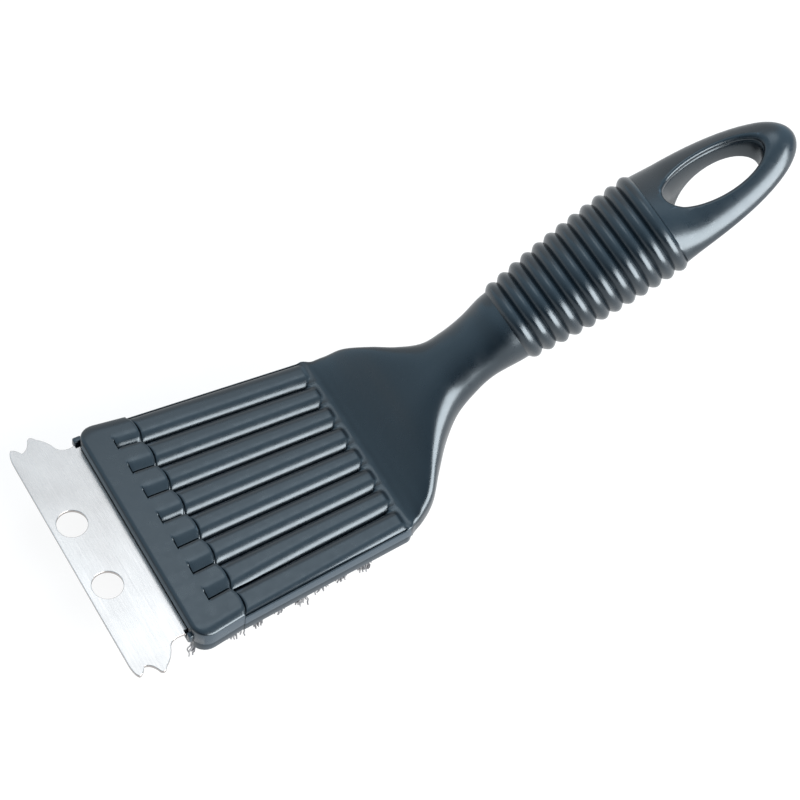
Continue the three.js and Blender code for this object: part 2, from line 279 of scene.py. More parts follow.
def bar_pitch(x):
    return BAR_PITCH - PITCH_TAPER * x


def band_half(x):
    return FRONT_HALF - FRONT_TAPER * x


def head_half(x):
    """Half the head's width, with the rounded front corners."""
    straight = band_half(x) if x < BAND_BACK else BARS / 2 * bar_pitch(x) + SIDE_MARGIN
    inset = CORNER_RADIUS - (x - FRONT_X)
    if inset <= 0:
        return straight
    return straight - CORNER_RADIUS + math.sqrt(max(0, CORNER_RADIUS**2 - inset**2))


def band_z(x, y):
    """The front band's top surface, rounded along the front, the corners and the sides."""
    centre_x, centre_y = FRONT_X + CORNER_RADIUS, band_half(x) - CORNER_RADIUS
    out_x = np.maximum(0, centre_x - x)
    out_y = np.maximum(0, np.abs(y) - centre_y)
    inset = CORNER_RADIUS - np.hypot(out_x, out_y)
    frontness = smoothstep(np.arctan2(out_x, out_y + 1e-9) / (math.pi / 2))
    slope = SIDE_RADIUS - np.sqrt(SIDE_RADIUS**2 - np.clip(SIDE_SLOPE - inset, 0, SIDE_SLOPE) ** 2)
    side = slope + edge_drop(SIDE_EDGE, inset)
    return BAND_HEIGHT - lerp(side, edge_drop(FRONT_FILLET, inset), frontness)


def bar_drop(x, reach):
    """How far the bars' rounded flanks lie below their crests. Those of the first two bars start flatter."""
    near = COLUMN_S < 0
    angle = np.where(near, float(NEAR_ANGLE), float(FAR_ANGLE))
    angle[near & (COLUMN_BAR == 1)] = lerp(42, NEAR_ANGLE, float(smoothstep((x - 8) / 36)))
    angle[near & (COLUMN_BAR == 0)] = lerp(24, 42, float(smoothstep((x - 14) / 48)))
    angle[~near & (COLUMN_BAR == BARS - 1)] = 40
    angle = np.radians(angle)
    out = np.clip(np.abs(COLUMN_S) * reach - (reach - BAR_RADIUS * np.sin(angle)), 0, None)
    return BAR_RADIUS - np.sqrt(BAR_RADIUS**2 - out**2)


def pocket_fall():
    """How deep each column lies in a pocket: 0 on a tab, about 1 at the near end, more in a groove."""
    # The floor falls over the near side of each bar to a groove, and the next tab's edge is rounded.
    fall = np.where(OUTER, 0.0, smoothstep((-COLUMN_S - 0.15) / 1.1) * (COLUMN_BAR > 0))
    fall = fall + 0.5 * smoothstep((-COLUMN_S - 0.7) / 0.34) * STEEP_POCKET
    fall = np.where(COLUMN_S > 0.8, 0.45 * edge_drop(1, (1 - COLUMN_S) / 0.2) * ~OUTER, fall)
    return np.where(IN_GROOVE, lerp(0.75, 1.45, smoothstep((COLUMN_OFFSET + 0.22) / 0.3)), fall)


POCKET_FALL = pocket_fall()


def column_places(x, mix, crown):
    """Where the top columns lie across the head."""
    pitch = bar_pitch(max(x, 0.0))
    y = (COLUMN_BAR - (BARS - 1) / 2) * pitch + (pitch / 2 - GROOVE_HALF) * COLUMN_S
    boundary = (COLUMN_BAR + 1 - BARS / 2) * pitch
    y = np.where(IN_GROOVE, boundary + COLUMN_OFFSET, y)
    # The groove's shift fades out towards each crest.
    shifted = np.where(IN_GROOVE, 1.0, COLUMN_S**2) * ~OUTER
    y = y + GROOVE_SHIFT * mix * crown * shifted
    return y * min(1.0, (head_half(x) - SHOULDER) / (BARS / 2 * pitch - GROOVE_HALF))


def side_columns(x, mix, crown, floor_z):
    """The far side from the shoulder groove over the rim and down the wall."""
    side_y = head_half(x) - SIDE_INSET
    wall = np.maximum(SIDE_Z, floor_z)
    rim = np.arange(len(SIDE_Z)) < RIM_COUNT
    rim_bars = lerp(LEDGE_Z - edge_drop(LEDGE_EDGE, SIDE_INSET), SIDE_Z, crown)
    z = np.where(rim, lerp(band_z(x, side_y), rim_bars, mix), wall)
    return np.stack([np.full(len(side_y), x), side_y, z], 1)


def head_ring(x, mix=0.0, pocket=0.0, bulge=0.0, nose=0.0, crown=1.0, sink=0.0, trench=0.0):
    """A section of the head.

    mix goes from the front band (0) to the bars (1), and crown from the bars (1) to the ledge (0). pocket is
    the pockets' depth, and trench the line at their front. bulge rounds the tabs' back edge, nose the bars'
    back ends. sink lowers the bars."""
    y = column_places(x, mix, crown)
    z_band = band_z(x, y) - POCKET_DEPTH * pocket * POCKET_FALL
    z_band = z_band - trench * clamp01(5 * POCKET_FALL - 0.1)
    groove = GROOVE_DEPTH + GROOVE_ROUND * np.sqrt(np.maximum(0, 1 - (COLUMN_OFFSET / GROOVE_HALF) ** 2))
    reach = bar_pitch(max(x, 0.0)) / 2 - GROOVE_HALF
    z_bars = -np.where(IN_GROOVE, groove, bar_drop(x, reach)) - sink
    z_bars = LEDGE_Z + (z_bars - LEDGE_Z) * crown
    shift = bulge * SCALLOP * (1 - COLUMN_S**2) - nose * NOSE * np.abs(COLUMN_S) ** NOSE_POWER * ~OUTER
    top = np.stack([x + shift, y, lerp(z_band, z_bars, mix)], 1)

    floor_z = HEAD_BOTTOM + float(edge_drop(BOTTOM_FILLET, x - FRONT_X))
    far = side_columns(x, mix, crown, floor_z)
    near = far[::-1] * np.array([1, -1, 1])
    bottom_y = (head_half(x) - SIDE_INSET[-1]) * BOTTOM_U[::-1]
    bottom = np.stack([np.full(BOTTOM_COLUMNS, x), bottom_y, np.full(BOTTOM_COLUMNS, floor_z)], 1)
    return np.concatenate([top, far, bottom, near])


def reference_columns():
    """The top columns as shares of the half width, taken from the ledge."""
    ring = head_ring(BAR_BACK, mix=1, crown=0)
    return ring[: len(TOP_COLUMNS), 1] / head_half(BAR_BACK)


TOP_U = reference_columns()
SIDE_TOP_U = 1 - SIDE_INSET[0] / head_half(BAR_BACK)
SIDE_BOTTOM_U = 1 - SIDE_INSET[-1] / head_half(BAR_BACK)


def oval_ring(x, z, angle, half, above, below, far_square, near_square=None):
    """A superellipse section whose up direction leans back by the given angle."""
    near_square = near_square or far_square

    def height(u):
        square = lerp(near_square, far_square, smoothstep((u + 0.6) / 1.2))
        return (1 - np.abs(u) ** square) ** (1 / square)

    def side(square):
        first = math.acos(SIDE_TOP_U ** (square / 2))
        last = math.acos(SIDE_BOTTOM_U ** (square / 2))
        turns = np.linspace(first, -last, len(SIDE_INSET))
        return np.abs(np.cos(turns)) ** (2 / square), np.sign(turns) * np.abs(np.sin(turns)) ** (2 / square)

    far_across, far_up = side(far_square)
    near_across, near_up = side(near_square)
    bottom_u = SIDE_BOTTOM_U * BOTTOM_U[::-1]
    across = np.concatenate([TOP_U, far_across, bottom_u, -near_across[::-1]])
    up = np.concatenate([height(TOP_U), far_up, -height(bottom_u), near_up[::-1]])
    rise = np.where(up > 0, up * above, up * below)
    return np.stack([x - math.sin(angle) * rise, half * across, z + math.cos(angle) * rise], 1)


def neck_ring(top_x, top_z, bottom_x, bottom_z, half, far_square, near_square):
    angle = math.atan2(bottom_x - top_x, top_z - bottom_z)
    height = math.hypot(bottom_x - top_x, top_z - bottom_z) / 2
    x, z = (top_x + bottom_x) / 2, (top_z + bottom_z) / 2
    return oval_ring(x, z, angle, half, height, height, far_square, near_square)


def grip_values(distance, rise):
    """Centre, half width and half height of the grip; rise goes from 0 in a valley to 1 on a ring."""
    along = distance / GRIP_LENGTH
    sunk = RING_RISE * (1 - rise)
    height = lerp(FIRST_RING[1], LAST_RING[1], along) - sunk
    half = lerp(FIRST_RING[0], LAST_RING[0], along) + GRIP_SWELL * math.sin(math.pi * clamp01(along)) - sunk
    x = GRIP_X + distance * math.cos(GRIP_ANGLE)
    z = GRIP_Z + distance * math.sin(GRIP_ANGLE)
    return x, z, half, height


def grip_ring(distance, rise):
    x, z, half, height = grip_values(distance, rise)
    return oval_ring(x, z, GRIP_ANGLE, half, height, height, GRIP_SQUARE)


def grip_station(distance):
    """A valley of the grip written as a neck station."""
    x, z, half, height = grip_values(distance, 0)
    up_x, up_z = math.sin(GRIP_ANGLE) * height, math.cos(GRIP_ANGLE) * height
    return (x - up_x, z + up_z, x + up_x, z - up_z, half, GRIP_SQUARE, GRIP_SQUARE)


def loop_ring(distance):
    along = distance / LOOP_LENGTH
    taper = math.sqrt(max(0, 1 - along**2.3))
    tip = float(clamp01((along - LOOP_ROUND_START) / 0.16))
    end_round = math.sqrt(max(0, 1 - tip**2))
    thinning = 1 - math.exp(-distance / 7)
    above = lerp(*LOOP_ABOVE, clamp01(along * 5)) * lerp(1, LOOP_TIP_SHARE, clamp01(along * 1.2)) * end_round
    return oval_ring(
        GRIP_X + GRIP_LENGTH * math.cos(GRIP_ANGLE) + distance * math.cos(LOOP_ANGLE),
        GRIP_Z + GRIP_LENGTH * math.sin(GRIP_ANGLE) + distance * math.sin(LOOP_ANGLE),
        lerp(GRIP_ANGLE, LOOP_ANGLE, clamp01(along * 3)),
        LOOP_HALF_WIDTH * taper,
        above,
        lerp(*LOOP_BELOW, thinning) * end_round,
        LOOP_SQUARE,
    )


def smooth_stations(stations, count):
    """Stations on a smooth curve through the given ones, evenly spaced along the top edge."""
    values = np.array(stations, float)
    steps = np.hypot(*np.diff(values[:, :2], axis=0).T)
    knots = np.concatenate([[0], np.cumsum(steps)])
    slopes = np.gradient(values, knots, axis=0)
    at = np.linspace(0, knots[-1], count)
    result = []
    for t in at:
        k = min(int(np.searchsorted(knots, t, side="right")) - 1, len(knots) - 2)
        span = knots[k + 1] - knots[k]
        u = (t - knots[k]) / span
        result.append(
            (2 * u**3 - 3 * u**2 + 1) * values[k]
            + (u**3 - 2 * u**2 + u) * span * slopes[k]
            + (3 * u**2 - 2 * u**3) * values[k + 1]
            + (u**3 - u**2) * span * slopes[k + 1]
        )
    return result


def head_rings():
    rings = []
    for inset in [0, 0.03, 0.12, 0.28, 0.5, 0.8, 1.15, 1.6, 2.2, 3, 4, 5]:
        rings.append(head_ring(FRONT_X + inset))
    for x in [4.2, POCKET_FRONT - 0.15, POCKET_FRONT]:
        rings.append(head_ring(x))
    # The pockets' front wall, with a fine line at its foot.
    pocket_walls = [(0.08, 0.2, 0.1), (0.16, 0.7, 0.5), (0.42, 0.95, 0.5), (0.52, 1, 0.1), (0.7, 1, 0)]
    for behind, pocket, trench in pocket_walls:
        rings.append(head_ring(POCKET_FRONT + behind, pocket=pocket, trench=trench))
    for x in [7.2, 8.6, 10, 11.2, 11.8]:
        rings.append(head_ring(x, pocket=1, bulge=smoothstep((x - 5.9) / 5.3)))
    # The tabs' back edge: a small round, the step down and a fine line at its foot.
    tab_edge = [(11.95, 0.06, 0), (12.05, 0.16, 0), (12.12, 0.34, 0), (12.16, 0.7, 0.2), (12.2, 1, 0.55)]
    for x, mix, sink in tab_edge:
        rings.append(head_ring(x, mix=mix, pocket=1, bulge=1, sink=sink))
    for x, sink in [(12.4, 0.55), (12.55, 0.3), (12.75, 0.08), (13.0, 0), (13.6, 0), (15, 0), (17.5, 0)]:
        rings.append(head_ring(x, mix=1, bulge=1 - smoothstep((x - 13) / 4.5), sink=sink))
    for x in [22, 28, 34, 40, 46, 52, 56]:
        rings.append(head_ring(x, mix=1))
    for x in [57.5, 58.8, 59.8, 60.6]:
        rings.append(head_ring(x, mix=1, nose=smoothstep((x - 56) / 4.6)))
    for along in [0, 0.12, 0.24, 0.36, 0.48, 0.6, 0.72, 0.86, 1]:
        crown = 1 - float(smoothstep(along))
        rings.append(head_ring(BAR_BACK - BAR_END * (1 - along), mix=1, nose=1, crown=crown))
    return rings


def transition_rings(stations):
    """From the ledge into the neck, then along the neck."""
    rings = []
    for station in stations[1:]:
        x = station[0]
        ring = neck_ring(*station)
        weight = float(smoothstep((x - NECK[0][0]) / NECK_BLEND))
        if weight < 1:
            nose = 1 - float(smoothstep((x - NOSE_END) / NOSE_FADE))
            ring = lerp(head_ring(min(x, LEDGE_END), mix=1, nose=nose, crown=0), ring, weight)
        rings.append(ring)
    return rings


def handle_rings():
    stations = NECK + [grip_station(-RING_PITCH), grip_station(-RING_PITCH / 2)]
    rings = transition_rings(smooth_stations(stations, NECK_SECTIONS))
    steps = [-0.5, -0.46, -0.4, -0.32, -0.22, -0.11, 0, 0.11, 0.22, 0.32, 0.4, 0.46]
    for number in range(RINGS):
        for step in steps:
            if number == 0 and step == -0.5:
                continue
            rise = 1 - abs(2 * step) ** RING_POWER
            rings.append(grip_ring((number + step) * RING_PITCH, rise))
    loop_start = [2.1, 2.6, 3.4, 4.4, 5.6, 7, 9, 11, 13.5, 16, 19, 22, 25, 28, 31, 33.5, 35.5, 37.1, 38.5]
    loop_tip = [39.7, 40.8, 41.7, 42.4, 43, 43.45, 43.75, 43.95, 44.06, 44.11]
    for distance in loop_start + loop_tip:
        rings.append(loop_ring(distance))
    return rings


def surface_height(tree, x, y, direction):
    """The height where a vertical line meets the body, from above (-1) or from below (1)."""
    start = Vector((x, y, -direction * 300))
    hit = tree.ray_cast(start, Vector((0, 0, direction)))[0]
    return hit.z


def hole_sections():
    """The hole's sections from above to below: offset out of its outline, side it is measured from, depth."""
    sections = [(2.1, -1, -40.0), (2.1, -1, -0.42)]
    for turn in [20, 32, 45, 58, 74, 90]:
        a = math.radians(turn)
        sections.append((HOLE_RIM * (1 - math.sin(a)), -1, HOLE_RIM * (1 - math.cos(a))))
    sections += [(0.0, -1, 1.6), (0.22, -1, 1.75), (0.3, -1, 2.0), (0.1, -1, 2.3), (-0.05, -1, 2.6)]
    for turn in [90, 70, 50, 34, 22]:
        a = math.radians(turn)
        sections.append((HOLE_LOWER_RIM * (1 - math.sin(a)), 1, HOLE_LOWER_RIM * (1 - math.cos(a))))
    return sections + [(1.3, 1, -0.3), (1.3, 1, -40.0)]


def hole_cutter(tree):
    """The hanging hole: rounded rim above and below, and a fine step under the upper rim."""
    rings = []
    for offset, direction, depth in hole_sections():
        shorter = HOLE_LEAN / 2 if direction == 1 else 0
        ring = []
        for k in range(HOLE_SIDES):
            turn = 2 * math.pi * k / HOLE_SIDES
            across, along = math.sin(turn) / HOLE_HALF_WIDTH, math.cos(turn) / HOLE_HALF_LENGTH
            normal = Vector((along, across)).normalized()
            x = HOLE_X + shorter + (HOLE_HALF_LENGTH - shorter) * math.cos(turn) + normal.x * offset
            y = HOLE_HALF_WIDTH * math.sin(turn) + normal.y * offset
            ring.append((x, y, surface_height(tree, x, y, direction) + direction * depth))
        rings.append(np.array(ring))
    return loft(rings)


def rounded_box(low, high, radius, segments=3):
    """A box with rounded edges."""
    work = bmesh.new()
    bmesh.ops.create_cube(work, size=1)
    low, high = Vector(low), Vector(high)
    for v in work.verts:
        v.co = Vector([lerp(low[i], high[i], v.co[i] + 0.5) for i in range(3)])
    bmesh.ops.bevel(work, geom=work.edges[:], offset=radius, segments=segments, profile=0.5, affect="EDGES")
    vertices = np.array([v.co[:] for v in work.verts])
    faces = [tuple(v.index for v in f.verts) for f in work.faces]
    work.free()
    return vertices, faces


def tuft_hole(box):
    """A blind hole for a tuft, a little wider at its mouth."""
    low, high = box
    x, y = (low.x + high.x) / 2, (low.y + high.y) / 2
    radius, mouth, top = TUFT_HOLE_RADIUS * MM, TUFT_HOLE_MOUTH * MM, high.z + GAP * MM
    bottom = body_low.z
    profile = [
        (0, bottom - 1 * MM), (mouth, bottom - 1 * MM), (mouth, bottom), (radius, bottom + 0.3 * MM),
        (radius, top), (0, top),
    ]
    return turned(profile, 20, (x, y))


def screw_bore(name):
    """A counterbored hole for a screw."""
    low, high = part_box(name)
    x, y = (low.x + high.x) / 2, (low.y + high.y) / 2
    head, shank = (high.x - low.x) / 2 + GAP * MM, SCREW_BORE_RADIUS * MM
    mouth, bottom = head + 0.25 * MM, body_low.z
    under = bottom + COUNTERBORE_DEPTH * MM
    top = high.z + GAP * MM
    profile = [
        (0, bottom - 1 * MM), (mouth, bottom - 1 * MM), (mouth, bottom), (head, bottom + 0.3 * MM),
        (head, under), (shank, under), (shank, top), (0, top),
    ]
    return turned(profile, 48, (x, y))


def add_lip(body):
    """The lip under the blade's root, and a small nub at each end of the blade's slot."""
    blade_low, blade_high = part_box("scraper_blade")
    middle = (blade_low.y + blade_high.y) / 2
    front = ORIGIN.x + LIP_FRONT * MM
    lip_low = (front, middle - LIP_HALF * MM, ORIGIN.z + LIP_BOTTOM * MM)
    lip_high = (front + LIP_DEPTH * MM, middle + LIP_HALF * MM, blade_low.z - GAP * MM)
    boolean(body, add_object("lip", *rounded_box(lip_low, lip_high, LIP_ROUND * MM)), "UNION")
    for y in (middle - NUB_Y * MM, middle + NUB_Y * MM):
        nub_low = (front, y - NUB_HALF * MM, blade_low.z - 1.0 * MM)
        nub_high = (front + NUB_DEPTH * MM, y + NUB_HALF * MM, blade_high.z + 0.7 * MM)
        boolean(body, add_object("nub", *rounded_box(nub_low, nub_high, NUB_ROUND * MM)), "UNION")


def blade_slot():
    """The slot for the blade's tang, with more room above the blade than below it."""
    blade_low, blade_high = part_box("scraper_blade")
    middle = (blade_low.y + blade_high.y) / 2
    front, gap = ORIGIN.x + LIP_FRONT * MM, GAP * MM
    slot_low = (front - 1 * MM, middle - SLOT_HALF * MM, blade_low.z - gap)
    slot_high = (blade_high.x + gap, middle + SLOT_HALF * MM, blade_high.z + 2.4 * gap)
    return rounded_box(slot_low, slot_high, SLOT_ROUND * MM, 2)


def make_body():
    vertices, faces = loft(head_rings() + handle_rings())
    tree = BVHTree.FromPolygons([tuple(v) for v in vertices], faces)
    body = add_object("moulded_shell", place(vertices), faces)
    add_lip(body)
    hole_vertices, hole_faces = hole_cutter(tree)
    cutters = [blade_slot(), (place(hole_vertices), hole_faces)]
    cutters += [tuft_hole(box) for _, box in tuft_boxes()]
    boolean(body, add_object("cuts", *combine(cutters)), "DIFFERENCE")
    bores = [screw_bore(name) for name in SCREWS]
    boolean(body, add_object("bores", *combine(bores)), "DIFFERENCE")
    finish_mesh(body.data, smooth_angle=38, merge=2e-6)
    return body


# ---- bristle tufts ---------------------------------------------------------------------------------------

WIRES = 42
WIRE_RADIUS = 0.2 * MM
WIRE_SIDES = 5
WIRE_STEPS = 20
CRIMP_HEIGHT, CRIMP_LENGTH = 0.22 * MM, 2.9 * MM
SPREAD_START, SPREAD_POWER = 0.15, 1.25  # the share of a wire's length that stays straight, and its curve
ROOT_SPREAD = 1.3 * MM
TIP_SHARE = 0.82  # how much of the CAD tuft's tip radius the wires fill, without their strays
TUFT_DRIFT = 0.5  # how far a whole tuft may lean, in millimetres
EDGE_LEAN = 0.9  # how far the outermost tufts would lean outward, in millimetres
STRAY_CHANCE = 0.12
GOLDEN_TURN = 2.39996  # radians between one wire and the next, for an even spread
# A few wires of one corner tuft are bent forward and then down: tuft, how far (x, y) and how many.
BENT_TUFT, BENT_REACH, BENT_WIRES = "bristle_tuft_c1_r1", (-13.1 * MM, -1.9 * MM), 8


def tuft_boxes():
    names = sorted(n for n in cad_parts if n.startswith("bristle_tuft_"))
    return [(name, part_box(name)) for name in names]


def tube(path, radius):
    """A closed tube along a path that runs mostly downwards."""
    angles = np.arange(WIRE_SIDES) * 2 * math.pi / WIRE_SIDES
    rings = []
    for point, tangent in zip(path, np.gradient(path, axis=0)):
        t = Vector(tangent).normalized()
        side = t.cross(Vector((0, 1, 0))).normalized()
        other = t.cross(side)
        ring = [Vector(point) + radius * (side * math.cos(a) + other * math.sin(a)) for a in angles]
        rings.append(np.array([v[:] for v in ring]))
    rings[-1][:, 2] = path[-1][2]
    return loft(rings)


def wire(root, tip, chance, bent=False):
    """A crimped wire as a thin tube from its root in the head to its cut tip."""
    along = np.linspace(0, 1, WIRE_STEPS)
    root, tip = np.array(root), np.array(tip)
    path = root + (tip - root) * along[:, None]
    if bent:
        # Straight down to the head's underside, then forward and down again.
        in_hole = (root[2] - body_low.z) / (root[2] - tip[2])
        spread = 1 - (1 - clamp01((along - in_hole) / (1 - in_hole))) ** 2
    else:
        spread = clamp01((along - SPREAD_START) / (1 - SPREAD_START)) ** SPREAD_POWER
    path[:, :2] = root[:2] + (tip[:2] - root[:2]) * spread[:, None]
    length = abs(tip[2] - root[2])
    phase, turn = chance.uniform(0, 2 * math.pi), chance.uniform(0, 2 * math.pi)
    waves = np.sin(along * length / CRIMP_LENGTH * 2 * math.pi + phase)
    crimp = CRIMP_HEIGHT * waves * clamp01(along * 3)
    path[:, 0] += crimp * math.cos(turn)
    path[:, 1] += crimp * math.sin(turn)
    return tube(path, WIRE_RADIUS)


def bent_wires(x, y, low, high):
    """The wires that are bent out of the corner tuft."""
    bent = random.Random(11)
    wires = []
    for _ in range(BENT_WIRES):
        root = (x + bent.uniform(-1, 0) * MM, y + bent.uniform(-1, 1) * MM, high.z)
        tip = (
            x + BENT_REACH[0] + bent.uniform(-0.8, 0.8) * MM,
            y + BENT_REACH[1] + bent.uniform(-0.8, 0.8) * MM,
            low.z + bent.uniform(0.1, 2.4) * MM,
        )
        wires.append(wire(root, tip, bent, bent=True))
    return wires


def make_tuft(name, box, chance):
    low, high = box
    x, y = (low.x + high.x) / 2, (low.y + high.y) / 2
    tip_radius = (high.x - low.x) / 2
    head_middle = (body_low.y + body_high.y) / 2
    outward = (y - head_middle) / (0.5 * (body_high.y - body_low.y))
    drift = [chance.uniform(-TUFT_DRIFT, TUFT_DRIFT) * MM for _ in "xy"]
    wires = []
    for number in range(WIRES):
        share = math.sqrt((number + 0.5) / WIRES)
        turn = number * GOLDEN_TURN + chance.uniform(-0.3, 0.3)
        root_r = ROOT_SPREAD * share
        tip_r = tip_radius * TIP_SHARE * share * chance.uniform(0.85, 1.15)
        root = (x + root_r * math.cos(turn), y + root_r * math.sin(turn), high.z)
        stray = chance.random() < STRAY_CHANCE
        tip_r += chance.uniform(0.8, 2.0) * MM if stray else 0.0
        tip = (
            x + tip_r * math.cos(turn) + drift[0],
            y + tip_r * math.sin(turn) + outward * EDGE_LEAN * MM + drift[1],
            low.z + chance.uniform(0.02, 0.35) * MM + (chance.uniform(0, 1.2) * MM if stray else 0),
        )
        wires.append(wire(root, tip, chance))
    if name == BENT_TUFT:
        wires += bent_wires(x, y, low, high)
    return add_object("wires_" + name.replace("bristle_tuft_", ""), *combine(wires), smooth_angle=50)


# ---- scraper blade ---------------------------------------------------------------------------------------

BLADE_FRONT = -19.8
BLADE_ROOT_X, BLADE_ROOT_HALF = -2.9, 32.0
TANG_HALF = 31.0
BLADE_HOLE_X, BLADE_HOLE_Y, BLADE_HOLE_RADIUS = -14.1, 10.3, 4.1
SCREW_SEAT_RADIUS = 1.8
BLADE_EDGE = 0.14  # the radius of the blade's edges
BEND_STEPS = 10
# One end of the blade, from its root round the tooth and the notch to the front: each bend's control and end.
BLADE_END = [
    ((-6.8, 31.1), (-8, 33.9)),
    ((-9, 36.5), (-11.2, 38.1)),
    ((-12.4, 40.085), (-13.4, 38.7)),
    ((-14.4, 35.9), (-16.4, 35.7)),
    ((-17.3, 37.5), (-18.6, 37.8)),
    ((-19.6, 37.1), (-19.8, 33.9)),
]


def blade_outline(tang_back):
    """The blade's outline in millimetres; the second half mirrors the first."""
    points = [(tang_back, TANG_HALF), (BLADE_ROOT_X, TANG_HALF), (BLADE_ROOT_X, BLADE_ROOT_HALF)]
    start = points[-1]
    for control, end in BLADE_END:
        for step in range(1, BEND_STEPS + 1):
            t = step / BEND_STEPS
            bend = zip(start, control, end)
            points.append(tuple((1 - t) ** 2 * a + 2 * t * (1 - t) * b + t * t * c for a, b, c in bend))
        start = end
    return points + [(x, -y) for x, y in reversed(points)]


def circle(x, y, radius, sides=56):
    turns = [2 * math.pi * k / sides for k in range(sides)]
    return [(x + radius * math.cos(t), y + radius * math.sin(t)) for t in turns]


def blade_outlines(origin_x, middle, back_x):
    """The blade's outline, its two round holes and the seats of the screws, in millimetres."""
    outlines = [blade_outline((back_x - origin_x) / MM)]
    for side in (-1, 1):
        outlines.append(circle(BLADE_HOLE_X, side * BLADE_HOLE_Y, BLADE_HOLE_RADIUS))
    for name in SCREWS:
        screw_low, screw_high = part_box(name)
        x = ((screw_low.x + screw_high.x) / 2 - origin_x) / MM
        y = ((screw_low.y + screw_high.y) / 2 - middle) / MM
        outlines.append(circle(x, y, SCREW_SEAT_RADIUS))
    return outlines


def make_blade():
    low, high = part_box("scraper_blade")
    middle = (low.y + high.y) / 2
    origin_x = low.x - BLADE_FRONT * MM
    curve = bpy.data.curves.new("blade_outline", "CURVE")
    curve.dimensions = "2D"
    curve.fill_mode = "BOTH"
    edge = BLADE_EDGE * MM
    curve.extrude = (high.z - low.z) / 2 - edge
    curve.bevel_depth = edge
    curve.bevel_resolution = 2
    curve.offset = -edge
    for outline in blade_outlines(origin_x, middle, high.x):
        spline = curve.splines.new("POLY")
        spline.points.add(len(outline) - 1)
        for point, (x, y) in zip(spline.points, outline):
            point.co = (origin_x + x * MM, middle + y * MM, 0, 1)
        spline.use_cyclic_u = True
    holder = bpy.data.objects.new("blade_curve", curve)
    bpy.context.scene.collection.objects.link(holder)
    graph = bpy.context.evaluated_depsgraph_get()
    mesh = bpy.data.meshes.new_from_object(holder.evaluated_get(graph))
    bpy.data.objects.remove(holder)
    bpy.data.curves.remove(curve)
    mesh.transform(Matrix.Translation((0, 0, (low.z + high.z) / 2)))
    finish_mesh(mesh, smooth_angle=50, merge=1e-6)
    # The two flat faces stay flat; only the edges are smooth.
    for polygon in mesh.polygons:
        polygon.use_smooth = abs(polygon.normal.z) < 0.999
    blade = bpy.data.objects.new("stamped_blade", mesh)
    bpy.context.scene.collection.objects.link(blade)
    return blade


# ---- screws ----------------------------------------------------------------------------------------------


SHANK_RADIUS, THREAD_ROOT, THREAD_PITCH = 1.5, 0.8, 0.55  # the thread's root is a share of the shank
RECESS_ARM, RECESS_HALF_WIDTH, RECESS_DEPTH = 1.9, 0.36, 0.75


def screw_profile(low, high):
    """A domed head, a threaded shank and a point, from the head's underside up."""
    head = (high.x - low.x) / 2
    profile = [(0, low.z)]
    for turn in range(0, 91, 15):
        a = math.radians(turn)
        profile.append((head * (0.55 + 0.45 * math.sin(a)), low.z + 0.9 * MM * (1 - math.cos(a))))
    under = low.z + 1.6 * MM
    shank = SHANK_RADIUS * MM
    root = shank * THREAD_ROOT
    profile += [(head, under - 0.1 * MM), (head - 0.1 * MM, under), (shank, under)]
    z = under + 0.5 * MM
    while z < high.z - 1.6 * MM:
        profile += [(root, z), (shank, z + 0.25 * MM), (root, z + 0.5 * MM)]
        z += THREAD_PITCH * MM
    return profile + [(root, high.z - 1.0 * MM), (0.1 * MM, high.z - 0.02 * MM), (0, high.z)]


def make_screw(name):
    low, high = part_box(name)
    x, y = (low.x + high.x) / 2, (low.y + high.y) / 2
    screw = add_object(name.replace("blade_screw", "screw"), *turned(screw_profile(low, high), 40, (x, y)))
    for half_x, half_y in ((RECESS_ARM, RECESS_HALF_WIDTH), (RECESS_HALF_WIDTH, RECESS_ARM)):
        arm_low = (x - half_x * MM, y - half_y * MM, low.z - 0.5 * MM)
        arm_high = (x + half_x * MM, y + half_y * MM, low.z + RECESS_DEPTH * MM)
        boolean(screw, add_object("recess", *rounded_box(arm_low, arm_high, 0.1 * MM, 2)), "DIFFERENCE")
    finish_mesh(screw.data, smooth_angle=35, merge=1e-6)
    return screw


# ---- materials -------------------------------------------------------------------------------------------


def fill_ramp(node, stops):
    elements = node.color_ramp.elements
    while len(elements) < len(stops):
        elements.new(0.5)
    for element, (position, color) in zip(elements, stops):
        element.position = position
        element.color = (*color, 1)


